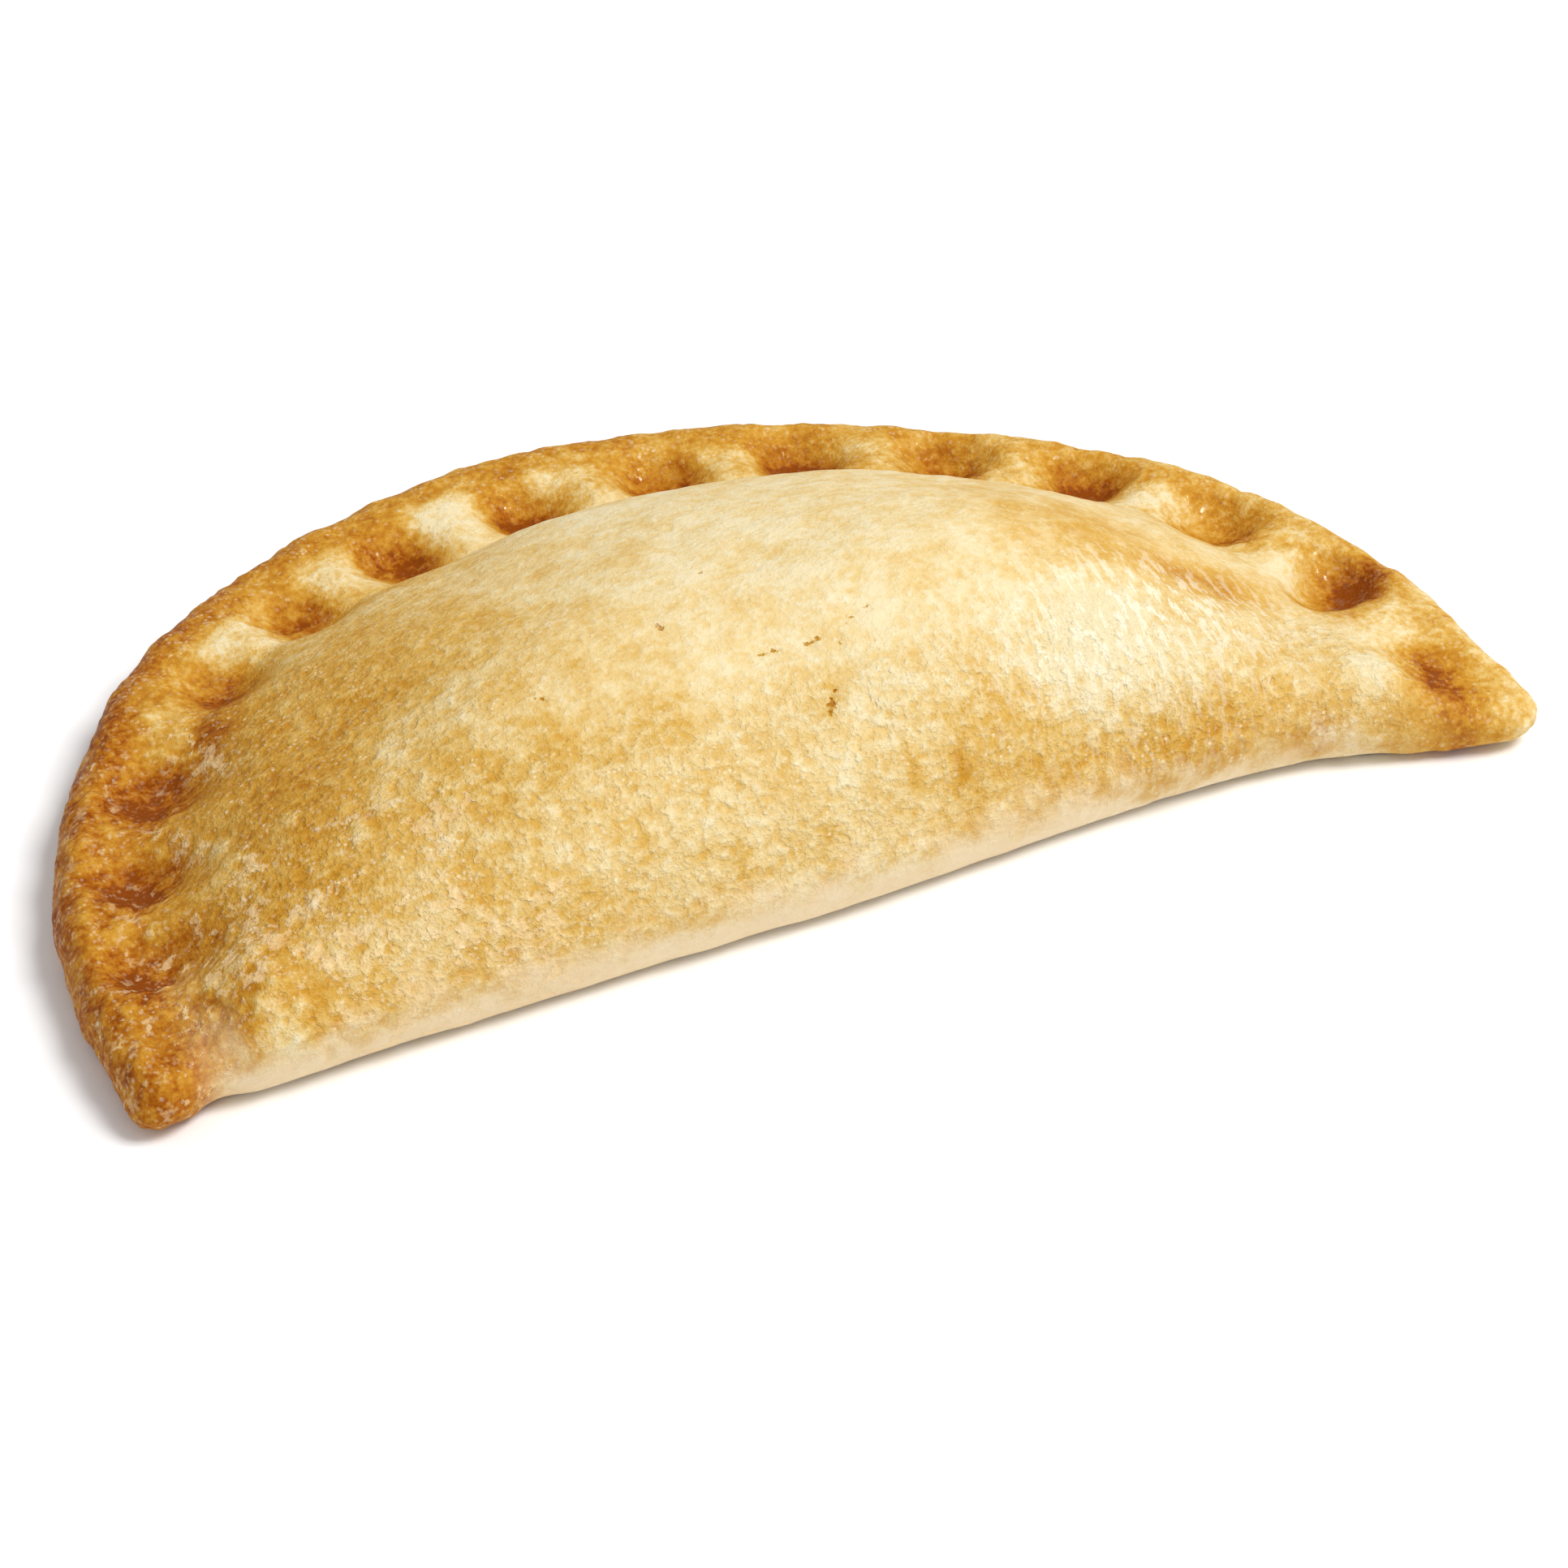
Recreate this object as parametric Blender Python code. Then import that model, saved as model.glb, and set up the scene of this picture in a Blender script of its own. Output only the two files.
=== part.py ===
"""A baked half-moon hand pie, folded along one side and pressed shut with a row of finger prints.

Metres, +Z up. X runs along the fold, Y from the fold towards the pressed rim.
The origin is the middle of the footprint, on the flat base. The sizes below are in
millimetres from the middle of the fold, and the finished mesh is moved to its origin once.
"""
import math

import bmesh
import bpy
import numpy as np

MM = 0.001

# Plan of the pressed rim: its distance from the middle of the fold at each bearing in degrees.
RIM_BEARING = (-10.0, 0.0, 8.0, 20.0, 30.0, 60.0, 75.0, 95.0, 115.0, 130.0, 142.0, 155.0, 173.0, 190.0)
RIM_REACH = (84.9, 84.5, 83.5, 85.3, 86.5, 87.6, 89.1, 92.3, 93.4, 93.8, 91.5, 89.6, 85.4, 84.6)
TIP_ROUND = 3.4

# Plan of the fold: a long bow, with a notch where the left end of the rim is pinched in.
FOLD_X = (-90.0, -66.0, -50.0, -34.0, -16.0, 8.0, 18.0, 42.0, 64.0, 71.0, 78.0, 84.0)
FOLD_Y = (0.6, 2.6, 3.3, 3.4, 3.8, 4.2, 4.7, 5.9, 4.2, 2.0, -0.2, -1.0)
NOTCH_X = -74.5
NOTCH_DEPTH = 2.0
NOTCH_WIDTH = 3.6

# Side view: a thin rim, and a filled dome that rises from it.
RIM_TOP = 8.8
RIM_SWELL = 0.8
CREASE_BEARING = (0.0, 10.0, 22.0, 50.0, 66.0, 90.0, 108.0, 125.0, 146.0, 160.0, 180.0)
CREASE_INSET = (7.0, 9.0, 12.6, 13.8, 16.4, 19.0, 18.0, 14.4, 11.0, 10.0, 10.0)
EDGE_HEIGHT = 3.8
BELLY_HEIGHT = 8.6
EDGE_ROUND = 4.0
BASE_ROUND = 4.5
BELLY_BASE_ROUND = 5.0
DOME_FRONT_WIDTH = 30.0
DOME_X = (-92.0, -66.0, -40.0, -10.0, 20.0, 52.0, 74.0)
DOME_RISE = (12.0, 14.0, 16.2, 18.2, 19.6, 15.6, 10.0)
STEEPNESS_BEARING = (0.0, 14.0, 26.0, 50.0, 70.0, 104.0, 124.0, 140.0, 180.0)
STEEPNESS = (2.0, 1.8, 1.2, 0.86, 0.72, 0.74, 1.0, 1.3, 1.3)
BACK_X = (-92.0, -60.0, -40.0, -20.0, 20.0, 60.0)
BACK_WIDTH = (22.0, 34.0, 45.0, 47.0, 42.0, 36.0)

# Finger prints round the rim: an even run, and the wider and closer ones towards both tips.
# Each is bearing in degrees, inset from the outer edge, depth, half length, and half width
# on the outer and on the inner side.
PRINT_PITCH = 12.2
EVEN_INSETS = (8.2, 7.8, 7.6, 8.8, 11.2, 12.6, 12.2)
EVEN_PRINTS = [(34.6 + PRINT_PITCH * step, inset, 3.8, 5.2, 4.0, 5.9) for step, inset in enumerate(EVEN_INSETS)]
RIGHT_PRINTS = [(6.6, 10.0, 1.7, 7.6, 4.4, 5.0), (21.4, 8.8, 4.0, 5.4, 4.4, 6.8)]
LEFT_PRINTS = [(118.8, 12.0, 2.8, 5.0, 4.4, 6.4), (129.6, 12.0, 2.5, 4.8, 4.4, 6.4),
               (143.4, 9.6, 2.7, 6.6, 4.4, 8.8), (154.0, 9.6, 2.6, 5.4, 4.4, 8.8),
               (164.2, 8.8, 2.4, 5.4, 4.2, 8.4), (174.4, 7.0, 1.2, 5.0, 3.2, 6.4)]
PRINTS = RIGHT_PRINTS + EVEN_PRINTS + LEFT_PRINTS
PRINT_ARM = 80.0
LIP_WAVE = 0.10

# Soft swells of the dome: x, y, height, half length, half width, turn in degrees.
SWELLS = [(55.0, 24.0, -0.8, 9.0, 5.0, -6.0), (64.5, 8.0, 1.0, 6.5, 6.0, 20.0),
          (79.0, 3.0, -1.6, 7.0, 6.0, 0.0),
          (-68.0, 9.0, 2.4, 4.5, 6.0, 0.0)]

# How finely the surface is divided.
ROUND_CELLS = 40
SIDE_CELLS = 14
BELOW_EDGE_CELLS = 3
SIDE_REACH = 21.0
MIDDLE_Y = 38.0

CRUST_COLOUR = (0.66, 0.40, 0.14, 1.0)
CRUST_ROUGHNESS = 0.45


def ease(start, end, value):
    """Rises from 0 to 1 between start and end without a corner."""
    t = np.clip((value - start) / (end - start), 0.0, 1.0)
    return t * t * (3.0 - 2.0 * t)


def along(value, knots, heights):
    """A smooth curve through a few knots."""
    knots = np.asarray(knots, dtype=float)
    heights = np.asarray(heights, dtype=float)
    gaps = np.diff(knots)
    rises = np.diff(heights) / gaps
    slopes = np.empty_like(heights)
    slopes[0] = rises[0]
    slopes[-1] = rises[-1]
    slopes[1:-1] = (rises[:-1] * gaps[1:] + rises[1:] * gaps[:-1]) / (gaps[1:] + gaps[:-1])
    value = np.clip(value, knots[0], knots[-1] - 1e-9)
    cell = np.clip(np.searchsorted(knots, value, side="right") - 1, 0, len(gaps) - 1)
    gap = gaps[cell]
    t = (value - knots[cell]) / gap
    start = (2.0 * t**3 - 3.0 * t**2 + 1.0) * heights[cell] + (t**3 - 2.0 * t**2 + t) * gap * slopes[cell]
    return start + (3.0 * t**2 - 2.0 * t**3) * heights[cell + 1] + (t**3 - t**2) * gap * slopes[cell + 1]


def fold_line(x):
    """How far the fold lies towards the rim at x."""
    return along(x, FOLD_X, FOLD_Y) + NOTCH_DEPTH * np.exp(-((x - NOTCH_X) / NOTCH_WIDTH) ** 2)


def edges(x, y):
    """Distance in from the rim, distance in from the fold, and bearing, for points of the plan."""
    bearing = np.arctan2(y, x)
    bearing = np.where(bearing < -0.5 * math.pi, bearing + 2.0 * math.pi, bearing)
    from_rim = along(np.degrees(bearing), RIM_BEARING, RIM_REACH) - np.hypot(x, y)
    return from_rim, y - fold_line(x), bearing


def edge_distance(from_rim, from_fold):
    """Distance in from the whole outline, rounded at both tips."""
    return 0.5 * (from_rim + from_fold - np.sqrt((from_rim - from_fold) ** 2 + TIP_ROUND**2))


def quarter_round(t):
    """A quarter of an ellipse: steep at 0, level at 1."""
    return np.sqrt(1.0 - (1.0 - np.clip(t, 0.0, 1.0)) ** 2)


def print_depth(from_rim, bearing):
    """How deep the finger prints press the rim."""
    total = np.zeros_like(from_rim)
    for degrees, inset, depth, half_length, outer, inner in PRINTS:
        turn = (bearing - math.radians(degrees)) * PRINT_ARM / half_length
        across = (from_rim - inset) / np.where(from_rim > inset, inner, outer)
        total += depth * np.exp(-((turn**2 + across**2) ** 1.35))
    return total


def lip_wave(from_rim, bearing):
    """The outer lip stands a little higher between two prints."""
    degrees = np.degrees(bearing)
    centres = np.array([row[0] for row in PRINTS])
    count = np.interp(degrees, centres, np.arange(len(centres)))
    inside = ease(centres[0], centres[0] + 7.0, degrees) * ease(centres[-1], centres[-1] - 7.0, degrees)
    return -LIP_WAVE * np.cos(2.0 * math.pi * count) * inside * ease(9.0, 3.0, from_rim)


def swell_height(x, y):
    """The dome's soft hollows and bulges."""
    total = np.zeros_like(x)
    for centre_x, centre_y, height, half_length, half_width, degrees in SWELLS:
        cosine = math.cos(math.radians(degrees))
        sine = math.sin(math.radians(degrees))
        length = ((x - centre_x) * cosine + (y - centre_y) * sine) / half_length
        width = ((y - centre_y) * cosine - (x - centre_x) * sine) / half_width
        total += height * np.exp(-(length**2) - width**2)
    return total


def heights(x, y):
    """Height of the upper and of the lower surface above the base."""
    from_rim, from_fold, bearing = edges(x, y)
    inset = np.maximum(edge_distance(from_rim, from_fold), 0.0)
    belly = ease(-77.0, -66.0, x) * ease(76.0, 45.0, x)
    middle = EDGE_HEIGHT + (BELLY_HEIGHT - EDGE_HEIGHT) * belly * ease(18.0, 2.0, from_fold)
    front = quarter_round(from_fold / DOME_FRONT_WIDTH)
    crease = along(np.degrees(bearing), CREASE_BEARING, CREASE_INSET)
    back_share = np.clip((from_rim - crease) / along(x, BACK_X, BACK_WIDTH), 0.0, 1.0)
    back = np.sin(0.5 * math.pi * back_share) ** along(np.degrees(bearing), STEEPNESS_BEARING, STEEPNESS)
    top = RIM_TOP + RIM_SWELL * ease(4.0, 13.0, from_rim) + lip_wave(from_rim, bearing)
    top = top + along(x, DOME_X, DOME_RISE) * front * back
    top = top - print_depth(from_rim, bearing) + swell_height(x, y)
    lift = top - middle
    lift = 0.5 * (lift + 0.5 + np.sqrt((lift - 0.5) ** 2 + 0.64))
    base_round = BASE_ROUND + (BELLY_BASE_ROUND - BASE_ROUND) * belly
    return middle + lift * quarter_round(inset / EDGE_ROUND), middle * (1.0 - quarter_round(inset / base_round))


def outline():
    """The outline from the right tip round the rim to the left tip, and the fold from there back."""
    turn = np.linspace(0.0, 2.0 * math.pi, 6001)[:-1]
    low = np.full_like(turn, 5.0)
    high = np.full_like(turn, 130.0)
    for _ in range(40):
        half = 0.5 * (low + high)
        from_rim, from_fold, _bearing = edges(half * np.cos(turn), MIDDLE_Y + half * np.sin(turn))
        inside = edge_distance(from_rim, from_fold) > 0.0
        low = np.where(inside, half, low)
        high = np.where(inside, high, half)
    points = np.stack([low * np.cos(turn), MIDDLE_Y + low * np.sin(turn)], axis=1)
    points = np.roll(points, -int(np.argmax(points[:, 0] - points[:, 1])), axis=0)
    left_tip = int(np.argmax(-points[:, 0] - points[:, 1]))
    return points[:left_tip + 1], np.append(points[left_tip:], points[:1], axis=0)


def even_points(curve, share):
    """Points of a curve at the given shares of its length."""
    run = np.append(0.0, np.cumsum(np.hypot(*np.diff(curve, axis=0).T)))
    return np.stack([np.interp(share * run[-1], run, curve[:, axis]) for axis in (0, 1)], axis=-1)


def crowd(share, amount):
    """Shares of a length, drawn closer together at both of its ends."""
    return share - amount * np.sin(2.0 * math.pi * share) / (2.0 * math.pi)


def plan_point(rim, fold, walk, inset):
    """The plan's point after a walk of 0 to 8 round the outline, the fold being 6 to 8, at an inset."""
    walk = np.mod(walk, 8.0)
    on_rim = even_points(rim, crowd(np.clip(walk / 6.0, 0.0, 1.0), 0.2))
    on_fold = even_points(fold, crowd(np.clip(0.5 * walk - 3.0, 0.0, 1.0), 0.55))
    edge = np.where((walk < 6.0)[:, None], on_rim, on_fold)
    inward = np.stack([-0.5 * edge[:, 0], MIDDLE_Y - edge[:, 1]], axis=1)
    return edge + inward * (inset / np.hypot(inward[:, 0], inward[:, 1]))[:, None]


def patch_point(rim, fold, across, up, inset):
    """A point of the upper or the lower patch, blended from the patch's four sides."""
    full = np.full_like(across, inset)
    front = plan_point(rim, fold, 6.0 + 2.0 * across, full)
    right = plan_point(rim, fold, 2.0 * up, full)
    rear = plan_point(rim, fold, 4.0 - 2.0 * across, full)
    left = plan_point(rim, fold, 6.0 - 2.0 * up, full)
    corners = [plan_point(rim, fold, 0.0 * up + walk, full) for walk in (6.0, 0.0, 2.0, 4.0)]
    u = across[:, None]
    v = up[:, None]
    sides = (1.0 - v) * front + v * rear + (1.0 - u) * left + u * right
    low = (1.0 - u) * corners[0] + u * corners[1]
    return sides - (1.0 - v) * low - v * (u * corners[2] + (1.0 - u) * corners[3])


def divided_block():
    """A cube with its four sides and its two patches divided into cells."""
    model = bmesh.new()
    bmesh.ops.create_cube(model, size=2.0)
    upright = [edge for edge in model.edges if abs(edge.verts[0].co.z - edge.verts[1].co.z) > 1.0]
    bmesh.ops.subdivide_edges(model, edges=upright, cuts=SIDE_CELLS - 1)
    level = [edge for edge in model.edges if abs(edge.verts[0].co.z - edge.verts[1].co.z) < 0.001]
    bmesh.ops.subdivide_edges(model, edges=level, cuts=ROUND_CELLS - 1, use_grid_fill=True)
    return model


def crust_mesh():
    """The block, with its sides laid round the outline and its patches spread over the plan."""
    model = divided_block()
    cube = np.array([vertex.co[:] for vertex in model.verts])
    across = 0.5 * (cube[:, 0] + 1.0)
    up = 0.5 * (cube[:, 1] + 1.0)
    row = 0.5 * (cube[:, 2] + 1.0) * SIDE_CELLS
    rim, fold = outline()

    # The sides: rows below the edge draw in to the base, rows above it climb over the rim.
    below = BELLY_BASE_ROUND * (1.0 - np.sin(np.linspace(0.0, 0.5 * math.pi, BELOW_EDGE_CELLS + 1)))
    climb = np.linspace(0.0, 1.0, SIDE_CELLS - BELOW_EDGE_CELLS + 1)
    above = SIDE_REACH * (0.35 * climb + 0.65 * climb**1.8)
    insets = np.append(below, above[1:])
    right, rear, left = across > 0.9999, up > 0.9999, across < 0.0001
    walk = np.select([right, rear, left], [2.0 * up, 4.0 - 2.0 * across, 6.0 - 2.0 * up], 6.0 + 2.0 * across)
    plan = plan_point(rim, fold, walk, np.interp(row, np.arange(len(insets)), insets))
    upper_patch = patch_point(rim, fold, across, up, insets[-1])
    lower_patch = patch_point(rim, fold, across, up, insets[0])
    on_side = (right | rear | left | (up < 0.0001))[:, None]
    plan = np.where(on_side, plan, np.where(cube[:, 2:] > 0.0, upper_patch, lower_patch))

    upper, lower = heights(plan[:, 0], plan[:, 1])
    z = np.where(row > BELOW_EDGE_CELLS - 0.5, upper, lower)
    middle = 0.5 * (plan.min(axis=0) + plan.max(axis=0))
    for vertex, (x, y), height in zip(model.verts, plan - middle, z):
        vertex.co = (x * MM, y * MM, height * MM)
    flat = [face for face in model.faces if max(vertex.co.z for vertex in face.verts) < 1e-7]
    bmesh.ops.dissolve_faces(model, faces=flat)
    bmesh.ops.recalc_face_normals(model, faces=model.faces)
    mesh = bpy.data.meshes.new("empanada")
    model.to_mesh(mesh)
    model.free()
    mesh.shade_smooth()
    return mesh


def crust_material():
    """Baked pastry: matt golden brown with a light sheen."""
    material = bpy.data.materials.new("crust")
    material.use_nodes = True
    shader = material.node_tree.nodes["Principled BSDF"]
    shader.inputs["Base Color"].default_value = CRUST_COLOUR
    shader.inputs["Roughness"].default_value = CRUST_ROUGHNESS
    shader.inputs["Metallic"].default_value = 0.0
    return material


for old in list(bpy.data.objects):
    bpy.data.objects.remove(old, do_unlink=True)

crust = bpy.data.objects.new("empanada", crust_mesh())
crust.data.materials.append(crust_material())
bpy.context.scene.collection.objects.link(crust)
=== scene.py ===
# %% [markdown]
# # Vegetable empanada
# A half-moon pie: a round of dough folded over its filling, pressed shut along the
# curved side with a finger, and baked until the thin rim turned brown. The packed CAD
# model has its form as one smooth solid. This lesson lays a finer skin over that form,
# with the crags, blisters, cracks and colours of baked dough.
# The frame is loaded first and stays as it is. Everything made later is set against it.

# %% Load the frame
import math

import bmesh
import bpy
import numpy as np
from mathutils import Matrix, Vector, noise


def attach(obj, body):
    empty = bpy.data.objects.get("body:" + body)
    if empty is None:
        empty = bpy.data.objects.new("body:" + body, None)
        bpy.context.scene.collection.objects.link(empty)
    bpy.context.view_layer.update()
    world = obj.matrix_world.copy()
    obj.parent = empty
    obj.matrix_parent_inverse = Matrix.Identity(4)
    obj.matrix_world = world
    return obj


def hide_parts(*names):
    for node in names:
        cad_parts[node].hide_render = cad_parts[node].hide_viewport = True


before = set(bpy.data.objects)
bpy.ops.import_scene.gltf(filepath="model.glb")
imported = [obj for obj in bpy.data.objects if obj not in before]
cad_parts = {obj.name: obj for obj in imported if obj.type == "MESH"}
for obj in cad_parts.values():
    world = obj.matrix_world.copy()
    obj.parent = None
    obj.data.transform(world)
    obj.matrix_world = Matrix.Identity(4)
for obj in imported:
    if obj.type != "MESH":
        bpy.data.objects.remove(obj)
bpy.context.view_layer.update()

MM = 0.001

# %% [markdown]
# ## Camera, floor and light
# A product photograph is taken from far off with a long lens, so that near and far keep
# almost the same size. The camera is placed on a ball round the point it looks at, by
# its turn and its height above the table.

# %% The camera
LOOK_AT = Vector((3.28, -16.04, 0.0)) * MM
CAMERA_DISTANCE = 717.2 * MM
CAMERA_TURN = math.radians(-24.82)
CAMERA_RISE = math.radians(39.0)
FIELD_OF_VIEW = math.radians(14.0)
SENSOR_WIDTH = 36.0

toward_camera = Vector((math.sin(CAMERA_TURN) * math.cos(CAMERA_RISE),
                        -math.cos(CAMERA_TURN) * math.cos(CAMERA_RISE),
                        math.sin(CAMERA_RISE)))
lens = bpy.data.cameras.new("camera")
lens.sensor_width = SENSOR_WIDTH
lens.lens = 0.5 * SENSOR_WIDTH / math.tan(0.5 * FIELD_OF_VIEW)
camera = bpy.data.objects.new("camera", lens)
camera.location = LOOK_AT + toward_camera * CAMERA_DISTANCE
camera.rotation_mode = "QUATERNION"
camera.rotation_quaternion = toward_camera.to_track_quat("Z", "Y")
bpy.context.scene.collection.objects.link(camera)
bpy.context.scene.camera = camera
print("lens in mm:", round(lens.lens, 1))

# %% [markdown]
# The light comes mainly from one soft box, to the right, a little in front and high up.
# It draws the shadow to the left and gives the finger prints one bright and one dark
# wall. An even white surround fills the shadows, as the white walls of a studio do.

# %% The light
KEY_TOWARD = Vector((0.65, -0.57, 1.50)).normalized()
KEY_DISTANCE = 1.5
KEY_SIZE = 0.6
KEY_WATTS = 17.4
SURROUND_STRENGTH = 0.56
SURROUND_COLOUR = (0.98, 0.99, 1.0, 1.0)

key = bpy.data.lights.new("key", "AREA")
key.size = KEY_SIZE
key.energy = KEY_WATTS
key_light = bpy.data.objects.new("key", key)
key_light.location = LOOK_AT + KEY_TOWARD * KEY_DISTANCE
key_light.rotation_mode = "QUATERNION"
key_light.rotation_quaternion = KEY_TOWARD.to_track_quat("Z", "Y")
bpy.context.scene.collection.objects.link(key_light)

world = bpy.data.worlds.new("studio")
world.use_nodes = True
surround = world.node_tree.nodes["Background"].inputs
surround["Color"].default_value = SURROUND_COLOUR
surround["Strength"].default_value = SURROUND_STRENGTH
bpy.context.scene.world = world
bpy.context.scene.view_settings.view_transform = "Standard"
print("key light at", [round(value, 2) for value in key_light.location])

# %% [markdown]
# The pie lies on a wide sheet of matt white paper. One flat face is enough for it, and it
# isn't part of the object.

# %% The floor
FLOOR_SIZE = 6.0
PAPER_WHITE = (0.98, 0.98, 0.98, 1.0)
PAPER_ROUGHNESS = 0.9

floor_model = bmesh.new()
bmesh.ops.create_grid(floor_model, x_segments=1, y_segments=1, size=0.5 * FLOOR_SIZE)
floor_mesh = bpy.data.meshes.new("floor")
floor_model.to_mesh(floor_mesh)
floor_model.free()
floor = bpy.data.objects.new("floor", floor_mesh)
bpy.context.scene.collection.objects.link(floor)
paper = bpy.data.materials.new("white_paper")
paper.use_nodes = True
paper_shader = paper.node_tree.nodes["Principled BSDF"].inputs
paper_shader["Base Color"].default_value = PAPER_WHITE
paper_shader["Roughness"].default_value = PAPER_ROUGHNESS
paper_shader["Specular IOR Level"].default_value = 0.0
floor_mesh.materials.append(paper)
print("floor", FLOOR_SIZE, "m wide")

# %% [markdown]
# ## The form of the pie
# The skin has to lie on the CAD solid, so its form is worked out from the same sizes.
# They are in millimetres, X along the fold and Y from the fold towards the rim. A smooth
# curve through a few knots gives the outline: for the rim, how far it lies from the
# middle of the fold at each bearing, and for the fold, a long shallow bow.

# %% A soft step and a smooth curve
TINY = 1e-9


def ease(start, end, value):
    """Rises from 0 to 1 between start and end without a corner."""
    t = np.clip((value - start) / (end - start), 0.0, 1.0)
    return t * t * (3.0 - 2.0 * t)


def along(at, knots, levels):
    """A smooth curve through a few knots, each at its own level."""
    knots = np.asarray(knots, dtype=float)
    levels = np.asarray(levels, dtype=float)
    gaps = np.diff(knots)
    rises = np.diff(levels) / gaps
    slopes = np.empty_like(levels)
    slopes[0] = rises[0]
    slopes[-1] = rises[-1]
    slopes[1:-1] = (rises[:-1] * gaps[1:] + rises[1:] * gaps[:-1]) / (gaps[1:] + gaps[:-1])
    at = np.clip(at, knots[0], knots[-1] - TINY)
    cell = np.clip(np.searchsorted(knots, at, side="right") - 1, 0, len(gaps) - 1)
    gap = gaps[cell]
    t = (at - knots[cell]) / gap
    start = (2.0 * t**3 - 3.0 * t**2 + 1.0) * levels[cell]
    start = start + (t**3 - 2.0 * t**2 + t) * gap * slopes[cell]
    end = (3.0 * t**2 - 2.0 * t**3) * levels[cell + 1]
    return start + end + (t**3 - t**2) * gap * slopes[cell + 1]


print("halfway up a soft step:", ease(0.0, 1.0, 0.5))

# %% The outline of the rim and of the fold
RIM_BEARING = (-10.0, 0.0, 8.0, 20.0, 30.0, 60.0, 75.0, 95.0,
               115.0, 130.0, 142.0, 155.0, 173.0, 190.0)
RIM_REACH = (84.9, 84.5, 83.5, 85.3, 86.5, 87.6, 89.1, 92.3,
             93.4, 93.8, 91.5, 89.6, 85.4, 84.6)
TIP_ROUND = 3.4
FOLD_X = (-90.0, -66.0, -50.0, -34.0, -16.0, 8.0, 18.0, 42.0, 64.0, 71.0, 78.0, 84.0)
FOLD_Y = (0.6, 2.6, 3.3, 3.4, 3.8, 4.2, 4.7, 5.9, 4.2, 2.0, -0.2, -1.0)
NOTCH_X = -74.5
NOTCH_DEPTH = 2.0
NOTCH_WIDTH = 3.6


def fold_line(x):
    """How far the fold lies towards the rim at x, with the pinched notch near the left tip."""
    return along(x, FOLD_X, FOLD_Y) + NOTCH_DEPTH * np.exp(-((x - NOTCH_X) / NOTCH_WIDTH) ** 2)


def edges(x, y):
    """Distance in from the rim, distance in from the fold, and bearing, for points of the plan."""
    bearing = np.arctan2(y, x)
    bearing = np.where(bearing < -0.5 * math.pi, bearing + 2.0 * math.pi, bearing)
    from_rim = along(np.degrees(bearing), RIM_BEARING, RIM_REACH) - np.hypot(x, y)
    return from_rim, y - fold_line(x), bearing


def edge_distance(from_rim, from_fold):
    """Distance in from the whole outline, rounded at both tips."""
    return 0.5 * (from_rim + from_fold - np.sqrt((from_rim - from_fold) ** 2 + TIP_ROUND**2))


print("the fold bows in by", max(FOLD_Y), "mm")

# %% [markdown]
# The rim was pressed with one finger, again and again, so the prints follow at an even
# step. They are wider and closer where both ends were pinched together. Each print is a
# soft round hollow with a steep outer side. On its inner side it runs out more gently,
# into the foot of the dome.

# %% The finger prints
FIRST_EVEN_BEARING = 34.6
PRINT_PITCH = 12.2
EVEN_INSETS = (8.2, 7.8, 7.6, 8.8, 11.2, 12.6, 12.2)
EVEN_SHAPE = (3.8, 5.2, 4.0, 5.9)
# Bearing, inset, depth, half length, and half width on the outer and on the inner side.
EVEN_PRINTS = [(FIRST_EVEN_BEARING + PRINT_PITCH * step, inset, *EVEN_SHAPE)
               for step, inset in enumerate(EVEN_INSETS)]
RIGHT_PRINTS = [(6.6, 10.0, 1.7, 7.6, 4.4, 5.0), (21.4, 8.8, 4.0, 5.4, 4.4, 6.8)]
LEFT_PRINTS = [(118.8, 12.0, 2.8, 5.0, 4.4, 6.4), (129.6, 12.0, 2.5, 4.8, 4.4, 6.4),
               (143.4, 9.6, 2.7, 6.6, 4.4, 8.8), (154.0, 9.6, 2.6, 5.4, 4.4, 8.8),
               (164.2, 8.8, 2.4, 5.4, 4.2, 8.4), (174.4, 7.0, 1.2, 5.0, 3.2, 6.4)]
PRINTS = RIGHT_PRINTS + EVEN_PRINTS + LEFT_PRINTS
# The arm that turns a bearing into a length, and how flat a print's floor is.
PRINT_ARM = 80.0
PRINT_FLATNESS = 1.35
# How high the lip waves, and over how many degrees the waves set in at both tips.
LIP_WAVE = 0.10
LIP_FADE = 7.0
print(len(PRINTS), "finger prints")

# %% How deep the prints press
def print_depth(from_rim, bearing):
    """How deep the finger prints press the rim."""
    total = np.zeros_like(from_rim)
    for degrees, inset, depth, half_length, outer, inner in PRINTS:
        turn = (bearing - math.radians(degrees)) * PRINT_ARM / half_length
        across = (from_rim - inset) / np.where(from_rim > inset, inner, outer)
        total += depth * np.exp(-((turn**2 + across**2) ** PRINT_FLATNESS))
    return total


def print_count(bearing):
    """Counts up by one from the middle of a print to the middle of the next."""
    centres = np.array([row[0] for row in PRINTS])
    return np.interp(np.degrees(bearing), centres, np.arange(len(centres)))


def lip_wave(from_rim, bearing):
    """The outer lip stands a little higher between two prints."""
    degrees = np.degrees(bearing)
    first, last = PRINTS[0][0], PRINTS[-1][0]
    inside = ease(first, first + LIP_FADE, degrees) * ease(last, last - LIP_FADE, degrees)
    wave = -LIP_WAVE * np.cos(2.0 * math.pi * print_count(bearing))
    return wave * inside * ease(9.0, 3.0, from_rim)


print("deepest print:", max(row[2] for row in PRINTS), "mm")

# %% [markdown]
# Seen from the side, the pie is a thin rim with a filled dome behind the fold. An upper
# and a lower height field meet at the edge, each with a quarter of an ellipse for its
# roundness, and a few soft swells stand for the lumps of the filling.

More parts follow.
